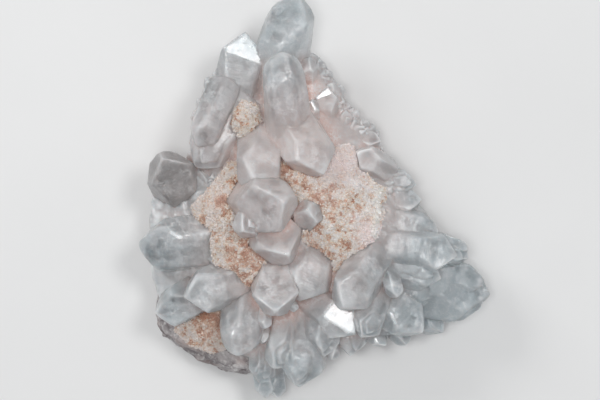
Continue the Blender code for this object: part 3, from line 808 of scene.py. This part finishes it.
def quartz_material(name, cool, warm, deep, clear, rim, body_colour, density):
    """Frosted quartz: milky veils in clear crystal, warm in the middle, cool outside, with painted pale
    highlights on its edges and painted shade in the creases.
    """
    made, tree, surface = material(name)
    links = tree.links
    veils = noise_value(tree, 150.0, 4.0, 0.6, 0.8)
    clouds = noise_value(tree, 80.0, 3.0, 0.5, 0.3)
    edge, crease_shade, gloss = attribute(tree, "edge"), attribute(tree, "crease_shade"), attribute(tree, "gloss")
    tint = mixed(tree, attribute(tree, "pink"), cool, warm)
    local = attribute(tree, "local", "Vector")
    streak = noise_at(tree, local, Scale=0.55, Detail=4.0, Roughness=0.6)["Fac"]
    tint = mixed(tree, spread(tree, clouds, 0.45, 0.7, 0.0, 0.35), tint, deep)
    tint = mixed(tree, spread(tree, streak, 0.5, 0.72, 0.0, 0.3), tint, rim)
    # Painted shade: the quartz darkens to a warm tint deep among the crystals
    tint = mixed(tree, crease_shade, tint, CREASE_SHADE)
    dust = noise_value(tree, 1300.0, 4.0, 0.7)
    tint = mixed(tree, spread(tree, dust, 0.5, 0.66, 0.0, 0.5), tint, rim)
    cracks = healed_cracks(tree, 330.0, 0.75)
    tint = mixed(tree, cracks, tint, rim)
    # Painted highlight: pale rims on convex edges and painted sparkle on the outer right, together with the
    # real white sugar on the left rim
    tint = mixed(tree, product(tree, edge, 0.9), tint, rim)
    links.new(tint, surface.inputs["Base Color"])
    # Painted edge highlights, painted crease shade, glossy faces and healed cracks make the quartz less
    # see-through
    solid = product(tree, edge, 0.8)
    for more in (crease_shade, gloss, cracks):
        solid = summed(tree, "MAXIMUM", solid, more)
    through = summed(tree, "ADD", product(tree, veils, 0.5), product(tree, streak, 0.5))
    through = spread(tree, through, 0.36, 0.64, clear, clear - 0.42)
    through = without(tree, through, product(tree, solid, 0.8))
    through = without(tree, through, product(tree, attribute(tree, "pink"), 0.2))
    links.new(through, surface.inputs["Transmission Weight"])
    frost = noise_value(tree, 420.0, 3.0, 0.6)
    rough = spread(tree, frost, 0.35, 0.7, 0.32, 0.5)
    shine = product(tree, gloss, spread(tree, clouds, 0.3, 0.6, 1.0, 0.6))
    rough = without(tree, rough, product(tree, shine, 0.9))
    links.new(rough, surface.inputs["Roughness"])
    wet = spread(tree, veils, 0.4, 0.62, 0.55, 0.12)
    wet = summed(tree, "MAXIMUM", summed(tree, "POWER", shine, 3.0), wet)
    links.new(wet, surface.inputs["Coat Weight"])
    set_inputs(surface, IOR=1.544, Specular_IOR_Level=0.45, Coat_Roughness=0.10, Sheen_Weight=0.12,
               Sheen_Roughness=0.35, Subsurface_Weight=0.5, Subsurface_Radius=(1.0, 0.85, 0.8),
               Subsurface_Scale=0.003)
    bands = node(tree, "ShaderNodeTexNoise", Scale=1.6, Detail=3.0, Roughness=0.6)
    bands.noise_dimensions = "1D"
    links.new(attribute(tree, "along"), bands.inputs["W"])
    grain = noise_value(tree, 1100.0, 4.0, 0.65)
    height = product(tree, summed(tree, "ADD", bands.outputs["Fac"], grain), 0.5)
    bumped(tree, surface, without(tree, height, gloss), 0.6, 0.0003)
    inside = node(tree, "ShaderNodeVolumeAbsorption", Density=density, Color=(*body_colour, 1.0))
    links.new(inside.outputs["Volume"], tree.nodes["Material Output"].inputs["Volume"])
    return made


def crust_material():
    """Sugary crust: cream and white grains, salmon and rust stains."""
    made, tree, surface = material("rhodochrosite_grains")
    links = tree.links
    rust, pink = attribute(tree, "rust"), attribute(tree, "pink")
    fine = noise_value(tree, 900.0, 3.0, 0.6)
    ramp = tree.nodes.new("ShaderNodeValToRGB")
    ramp.color_ramp.elements.remove(ramp.color_ramp.elements[1])
    ramp.color_ramp.elements[0].color = (*CRUST_WHITE, 1.0)
    for place, colour in CRUST_STOPS:
        ramp.color_ramp.elements.new(place).color = (*colour, 1.0)
    links.new(summed(tree, "ADD", rust, spread(tree, fine, 0.3, 0.7, -0.12, 0.12)), ramp.inputs["Fac"])
    colour = mixed(tree, summed(tree, "MINIMUM", pink, 1.0), ramp.outputs["Color"], CRUST_PINK)
    colour = mixed(tree, attribute(tree, "shade"), colour, CRUST_SHADE)
    links.new(colour, surface.inputs["Base Color"])
    links.new(spread(tree, fine, 0.3, 0.7, 0.3, 0.62), surface.inputs["Roughness"])
    set_inputs(surface, Subsurface_Weight=0.3, Subsurface_Radius=(1.0, 0.6, 0.45), Subsurface_Scale=0.0007)
    bumped(tree, surface, noise_value(tree, 4000.0, 2.0), 0.4, 0.0001)
    return made


def matrix_material():
    """Grey rock with pale and dark bands that run along the ledge."""
    made, tree, surface = material("matrix_rock")
    links = tree.links
    turn = (math.radians(35.0), 0.0, math.radians(-32.0))
    turned = tree.nodes.new("ShaderNodeMapping")
    turned.vector_type = "TEXTURE"
    set_inputs(turned, Rotation=turn, Scale=(6.0, 6.0, 1.0))
    links.new(own_place(tree), turned.inputs["Vector"])
    bands = noise_at(tree, turned.outputs["Vector"], Scale=900.0, Detail=4.0, Roughness=0.6, Distortion=0.6)
    pale = spread(tree, bands["Fac"], 0.38, 0.6, 0.0, 1.0)
    specks = noise_value(tree, 900.0, 4.0, 0.65)
    clouds = noise_value(tree, 120.0, 4.0, 0.6)
    tint = mixed(tree, pale, (0.20, 0.175, 0.18), (0.52, 0.49, 0.49))
    tint = mixed(tree, spread(tree, specks, 0.5, 0.68, 0.0, 0.75), tint, (0.74, 0.72, 0.71))
    tint = mixed(tree, spread(tree, clouds, 0.52, 0.72, 0.0, 0.6), tint, (0.46, 0.33, 0.29))
    links.new(tint, surface.inputs["Base Color"])
    links.new(spread(tree, specks, 0.3, 0.7, 0.9, 0.5), surface.inputs["Roughness"])
    bumped(tree, surface, specks, 0.7, 0.0004)
    return made


def floor_material():
    made, tree, surface = material("pale_floor")
    clouds = spread(tree, noise_value(tree, 14.0, 3.0), 0.3, 0.7, 0.0, 1.0)
    tint = mixed(tree, clouds, (0.78, 0.78, 0.775), (0.81, 0.81, 0.805))
    tree.links.new(tint, surface.inputs["Base Color"])
    surface.inputs["Roughness"].default_value = 0.8
    return made


# Attributes that the shaders read
def coordinates(piece):
    flat = np.zeros(len(piece.data.vertices) * 3)
    piece.data.vertices.foreach_get("co", flat)
    return flat.reshape(-1, 3) / MM + (CENTRE[0], CENTRE[1], 0.0)


def set_value(piece, name, values):
    made = piece.data.attributes.get(name) or piece.data.attributes.new(name, "FLOAT", "POINT")
    made.data.foreach_set("value", np.asarray(values, np.float32))


def spread_edges(count, edges, at_start, at_end):
    """Mean at each point of what its edges carry."""
    total = np.bincount(edges[:, 0], at_start, count) + np.bincount(edges[:, 1], at_end, count)
    number = np.bincount(edges[:, 0], minlength=count) + np.bincount(edges[:, 1], minlength=count)
    return total / np.maximum(number, 1)


def convexity(piece):
    """How strongly the surface bends outward at each point, in 1/mm, close by and over a wider patch."""
    spots, out = coordinates(piece), vertex_normals(piece)
    edges = np.zeros(len(piece.data.edges) * 2, np.int64)
    piece.data.edges.foreach_get("vertices", edges)
    edges = edges.reshape(-1, 2)
    run = spots[edges[:, 1]] - spots[edges[:, 0]]
    length2 = np.maximum((run**2).sum(1), 0.0025)
    at_start = -2 * (run * out[edges[:, 0]]).sum(1) / length2
    at_end = 2 * (run * out[edges[:, 1]]).sum(1) / length2
    bend = spread_edges(len(spots), edges, at_start, at_end)
    thin = None
    for step in range(16):
        bend = 0.5 * bend + 0.5 * spread_edges(len(spots), edges, bend[edges[:, 1]], bend[edges[:, 0]])
        if step == 1:
            thin = bend
    return thin, bend


class HeightMap:
    """How high the crystals stand around each spot."""

    CELL = 0.5
    HALF = 60.0

    def __init__(self, pieces):
        side = int(2 * self.HALF / self.CELL)
        self.top = np.zeros((side, side))
        for piece in pieces:
            spots = coordinates(piece)
            np.maximum.at(self.top, self.cells(spots), spots[:, 2])
        around = self.top
        steps = [(i, j) for i in (-1, 0, 1) for j in (-1, 0, 1)]
        for _ in range(2):
            around = np.maximum.reduce([np.roll(around, step, (0, 1)) for step in steps])
        for _ in range(3):
            around = sum(np.roll(around, i, 0) for i in range(-3, 4)) / 7
            around = sum(np.roll(around, j, 1) for j in range(-3, 4)) / 7
        self.around = around

    def cells(self, spots):
        cells = ((spots[:, :2] + self.HALF) / self.CELL).astype(int).clip(0, self.top.shape[0] - 1)
        return cells[:, 0], cells[:, 1]

    def depth(self, spots):
        return self.around[self.cells(spots)] - spots[:, 2]


def nearness(spots, centre, radius):
    """1 at the centre in plan, and less the farther away."""
    off = (spots[:, 0] - centre[0]) ** 2 + (spots[:, 1] - centre[1]) ** 2
    return np.exp(-(off / radius**2))


def tint_quartz(piece, heights):
    """Quartz is pinkish near the crust and bluish at the outer points; it also gets painted highlights on
    its edges, painted sparkle on the outer right, white sugar on the left rim and painted shade in the
    creases.
    """
    spots = coordinates(piece)
    x, y, z = spots.T
    from_middle = np.hypot(x + 4.0, y + 3.0)
    pink = 1.25 - from_middle / 34.0 - 0.5 * np.clip((x - 10) / 20, 0, 1)
    pink += 0.35 * fractal(spots, 9.0, 2, 71)
    for centre, radius, more in QUARTZ_SPOTS:
        pink += more * nearness(spots, centre, radius)
    rise = np.zeros(len(spots), np.float32)
    piece.data.attributes["rise"].data.foreach_get("value", rise)
    pink += 0.35 * (0.5 - rise)
    set_value(piece, "pink", np.clip(pink, 0, 1))
    # Painted highlights: pale rims on sharp and broad convex edges, broken into patches, and painted
    # sparkle on the outer right; the sugar on the left rim is the quartz's own white
    highlight_patches = 0.75 + 0.6 * fractal(spots, 2.2, 2, 75)
    thin, wide = convexity(piece)
    thin = np.clip((thin - 0.25) / 0.7, 0, 1) * np.clip(highlight_patches, 0, 1)
    wide = np.clip((wide - 0.10) / 0.35, 0, 1) * 0.45
    rim = (rise == 0) * np.clip((-36.5 - x) / 3.0, 0, 1) * (z > 6.0)
    sugar = np.clip(0.6 + 1.2 * fractal(spots, 1.2, 2, 79), 0, 1) * rim
    outer_right = np.clip((x - 34.0) / 6.0, 0, 1)
    sparkle = np.clip(1.6 * fractal(spots, 1.5, 2, 83), 0, 0.8) * outer_right
    set_value(piece, "edge", np.maximum.reduce([thin, wide, sugar, sparkle]))
    # Painted shade: the deeper a point lies below the crystals around it, the darker it is, warmer where
    # the quartz is pink
    depth = heights.depth(spots) + 0.8 * fractal(spots, 3.0, 2, 73)
    inside = np.clip((44.0 - from_middle) / 12.0, 0, 1)
    warmth = 0.35 + 0.65 * np.clip(pink, 0, 1)
    set_value(piece, "crease_shade", np.clip((depth - 1.5) / 6.0, 0, 1) * inside * warmth)


def crust_tones(spots, chance):
    """Rust and pink of the crust at these points."""
    rust = 0.28 + 0.3 * fractal(spots, 7.0, 2, 91) + 0.95 * fractal(spots, 1.2, 2, 93)
    pink = 0.12 + 0.25 * fractal(spots, 5.0, 2, 97)
    for centre, radius, more_rust, more_pink in CRUST_SPOTS:
        near = nearness(spots, centre, radius)
        rust += more_rust * near
        pink += more_pink * near
    if chance is not None:
        rust += chance.normal(0, 0.26, len(spots))
    needles = needle_share(spots)
    rust, pink = rust - 1.2 * needles, pink - 0.7 * needles
    return np.clip(rust, 0, 1), np.clip(pink, 0, 1)


def needle_share(spots):
    """1 along the winding line of white needles, 0 away from it."""
    (x0, y0), (x1, y1), half = NEEDLES
    run = (spots[:, 1] - y0) / (y1 - y0)
    off = spots[:, 0] - (x0 + (x1 - x0) * run) - 1.1 * fractal(spots, 3.0, 2, 131)
    return np.exp(-((off / half) ** 2)) * (run > 0) * (run < 1)


def remeshed(name, voxel):
    """Fine even copy of a CAD node's surface."""
    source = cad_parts[name]
    piece = in_scene(name + "_surface", source.data.copy())
    modifier = piece.modifiers.new("remesh", "REMESH")
    modifier.mode = "VOXEL"
    modifier.voxel_size = voxel * MM
    return applied(piece)


def vertex_normals(piece):
    flat = np.zeros(len(piece.data.vertices) * 3)
    piece.data.vertex_normals.foreach_get("vector", flat)
    return flat.reshape(-1, 3)


def place_vertices(piece, spots):
    flat = (spots - (CENTRE[0], CENTRE[1], 0.0)) * MM
    piece.data.vertices.foreach_set("co", flat.ravel())
    piece.data.update()


def crust_piece(name, grains_name, seed):
    """Lumpy crust of one hollow, with its loose-looking grains fused to it."""
    base = remeshed(name, CRUST_VOXEL)
    spots, out = coordinates(base), vertex_normals(base)
    lift = 0.42 * fractal(spots, 1.5, 3, seed) + 0.34 + 0.7 * needle_share(spots)
    spots = spots + out * lift[:, None]
    place_vertices(base, spots)
    chance = np.random.default_rng(seed)

    base.data.calc_loop_triangles()
    corners = np.zeros(len(base.data.loop_triangles) * 3, np.int64)
    base.data.loop_triangles.foreach_get("vertices", corners)
    triangles = spots[corners.reshape(-1, 3)]
    across = np.cross(triangles[:, 1] - triangles[:, 0], triangles[:, 2] - triangles[:, 0])
    area = np.linalg.norm(across, axis=1) / 2
    upward = across[:, 2] / np.maximum(2 * area, 1e-9) > 0.15
    weight = area * upward
    count = int(weight.sum() * GRAINS_PER_MM2)
    chosen = chance.choice(len(area), count, p=weight / weight.sum())
    u, v = chance.random(count), chance.random(count)
    flip = u + v > 1
    u[flip], v[flip] = 1 - u[flip], 1 - v[flip]
    t = triangles[chosen]
    middle = t[:, 0] + (t[:, 1] - t[:, 0]) * u[:, None] + (t[:, 2] - t[:, 0]) * v[:, None]
    size = chance.uniform(0.10, 0.23, count) * (1 + 0.8 * needle_share(middle))
    cube = np.array([(x, y, z) for x in (-1, 1) for y in (-1, 1) for z in (-1, 1)], float)
    skew = np.array([(1, 0.25, 0.25), (0.25, 1, 0.25), (0.25, 0.25, 1)])
    cube = cube @ skew
    quads = np.array([(0, 1, 3, 2), (4, 6, 7, 5), (0, 4, 5, 1), (2, 3, 7, 6), (0, 2, 6, 4), (1, 5, 7, 3)])
    q = chance.normal(size=(count, 4))
    q /= np.linalg.norm(q, axis=1)[:, None]
    w, x, y, z = q.T
    turn = np.stack([
        np.stack([1 - 2 * (y * y + z * z), 2 * (x * y - z * w), 2 * (x * z + y * w)], -1),
        np.stack([2 * (x * y + z * w), 1 - 2 * (x * x + z * z), 2 * (y * z - x * w)], -1),
        np.stack([2 * (x * z - y * w), 2 * (y * z + x * w), 1 - 2 * (x * x + y * y)], -1),
    ], 1)
    stretch = chance.uniform(0.7, 1.5, (count, 1, 3))
    grains = middle[:, None, :] + ((cube[None] * stretch) @ turn) * size[:, None, None]
    faces = (quads[None] + 8 * np.arange(count)[:, None, None]).reshape(-1, 4)
    grain_piece = new_piece(grains_name, grains.reshape(-1, 3), faces)
    rust, pink = crust_tones(middle, chance)
    rust = np.clip(rust - 0.5 * fractal(middle, 1.5, 3, seed), 0, 1)
    set_value(grain_piece, "rust", np.repeat(rust, 8))
    set_value(grain_piece, "pink", np.repeat(pink, 8))
    for part, places in ((base, spots), (grain_piece, grains.reshape(-1, 3))):
        set_value(part, "shade", np.clip(0.08 - places[:, 0] / 170.0, 0, 1))
    rust, pink = crust_tones(spots, None)
    set_value(base, "rust", np.clip(rust + 0.3 - 0.5 * fractal(spots, 1.5, 3, seed), 0, 1))
    set_value(base, "pink", pink)
    return join(base, grain_piece)


def join(first, second):
    """Puts two meshes in one object."""
    with bpy.context.temp_override(active_object=first, object=first, selected_objects=[first, second],
                                   selected_editable_objects=[first, second]):
        bpy.ops.object.join()
    return first


def dress(piece, name, made, replaced, smooth):
    piece.name = name
    piece.data.name = name
    piece.data.materials.clear()
    piece.data.materials.append(made)
    if smooth:
        piece.data.shade_smooth()
    else:
        piece.data.shade_flat()
    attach(piece, "root")
    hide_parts(replaced)


def build_quartz():
    quartz = quartz_material("milky_quartz", **MILKY)
    smoky = quartz_material("smoky_quartz", **SMOKY)
    earlier, pieces = [], {}
    for replaced, rows in FREE_CRYSTALS.items():
        piece, *others = [etched_crystal(*row) for main in rows for row in stepped(*main)]
        if others:
            combine(piece, others, "UNION")
        if earlier:
            combine(piece, cutters(earlier), "DIFFERENCE")
        pieces[replaced] = largest_body(piece)
        earlier += rows
    cluster = quartz_bed()
    combine(cluster, crowded(), "UNION")
    combine(cluster, cutters(earlier) + [matrix_cutter()], "DIFFERENCE")
    pieces["quartz_cluster"] = thinned(largest_body(cluster), MOST_QUARTZ_FACES)
    heights = HeightMap(pieces.values())
    for replaced, piece in pieces.items():
        tint_quartz(piece, heights)
        is_smoky = replaced == "smoky_crystal"
        dress(piece, replaced + "_etched", smoky if is_smoky else quartz, replaced, True)


def build_crusts():
    made = crust_material()
    for k, name in enumerate(CRUSTS):
        piece = crust_piece(name, name + "_loose", 200 + 10 * k)
        dress(piece, name + "_grains", made, name, False)


def build_matrix():
    piece = remeshed("matrix", MATRIX_VOXEL)
    spots, out = coordinates(piece), vertex_normals(piece)
    rough = 1.1 * fractal(spots * (1, 1, 2.2), 3.0, 3, 301) - 0.6
    side = np.clip((spots[:, 2] - 0.25) / 0.8, 0, 1)
    moved = spots + out * (np.minimum(rough, 0.0) * side)[:, None]
    moved[:, 2] = np.where(spots[:, 2] < 0.35, 0.0, moved[:, 2])
    place_vertices(piece, moved)
    thinned(piece, MOST_MATRIX_FACES)
    dress(piece, "matrix_rough", matrix_material(), "matrix", True)


def area_light(name, place, size, power):
    """Round lamp that points at the middle of the specimen."""
    data = bpy.data.lights.new(name, "AREA")
    data.shape = "DISK"
    data.size = size
    data.energy = power
    light = in_scene(name, data)
    light.location = place
    light.rotation_euler = (Vector(LAMP_TARGET) - Vector(place)).to_track_quat("-Z", "Y").to_euler()


def build_stage():
    corners = [(FLOOR_HALF * x, FLOOR_HALF * y, 0) for x, y in ((-1, -1), (1, -1), (1, 1), (-1, 1))]
    floor = new_piece("floor", corners, [(0, 1, 2, 3)])
    floor.data.materials.append(floor_material())

    scene = bpy.context.scene
    world = scene.world or bpy.data.worlds.new("soft_room")
    scene.world = world
    world.use_nodes = True
    set_inputs(world.node_tree.nodes["Background"], Color=(0.95, 0.97, 1.0, 1.0), Strength=0.34)
    area_light("overhead", (-0.067, -0.007, 0.90), 0.22, 2.2)
    area_light("overhead_right", (0.31, 0.20, 0.90), 0.26, 2.2)
    area_light("key", (-0.42, 0.40, 0.45), 0.28, 1.45)

    data = bpy.data.cameras.new("camera")
    data.lens = CAMERA_LENS
    data.sensor_width = CAMERA_SENSOR
    data.clip_start = 0.01
    camera = in_scene("camera", data)
    camera.location = CAMERA_PLACE
    scene.camera = camera
    scene.view_settings.view_transform = "Standard"


build_quartz()
build_crusts()
build_matrix()
build_stage()
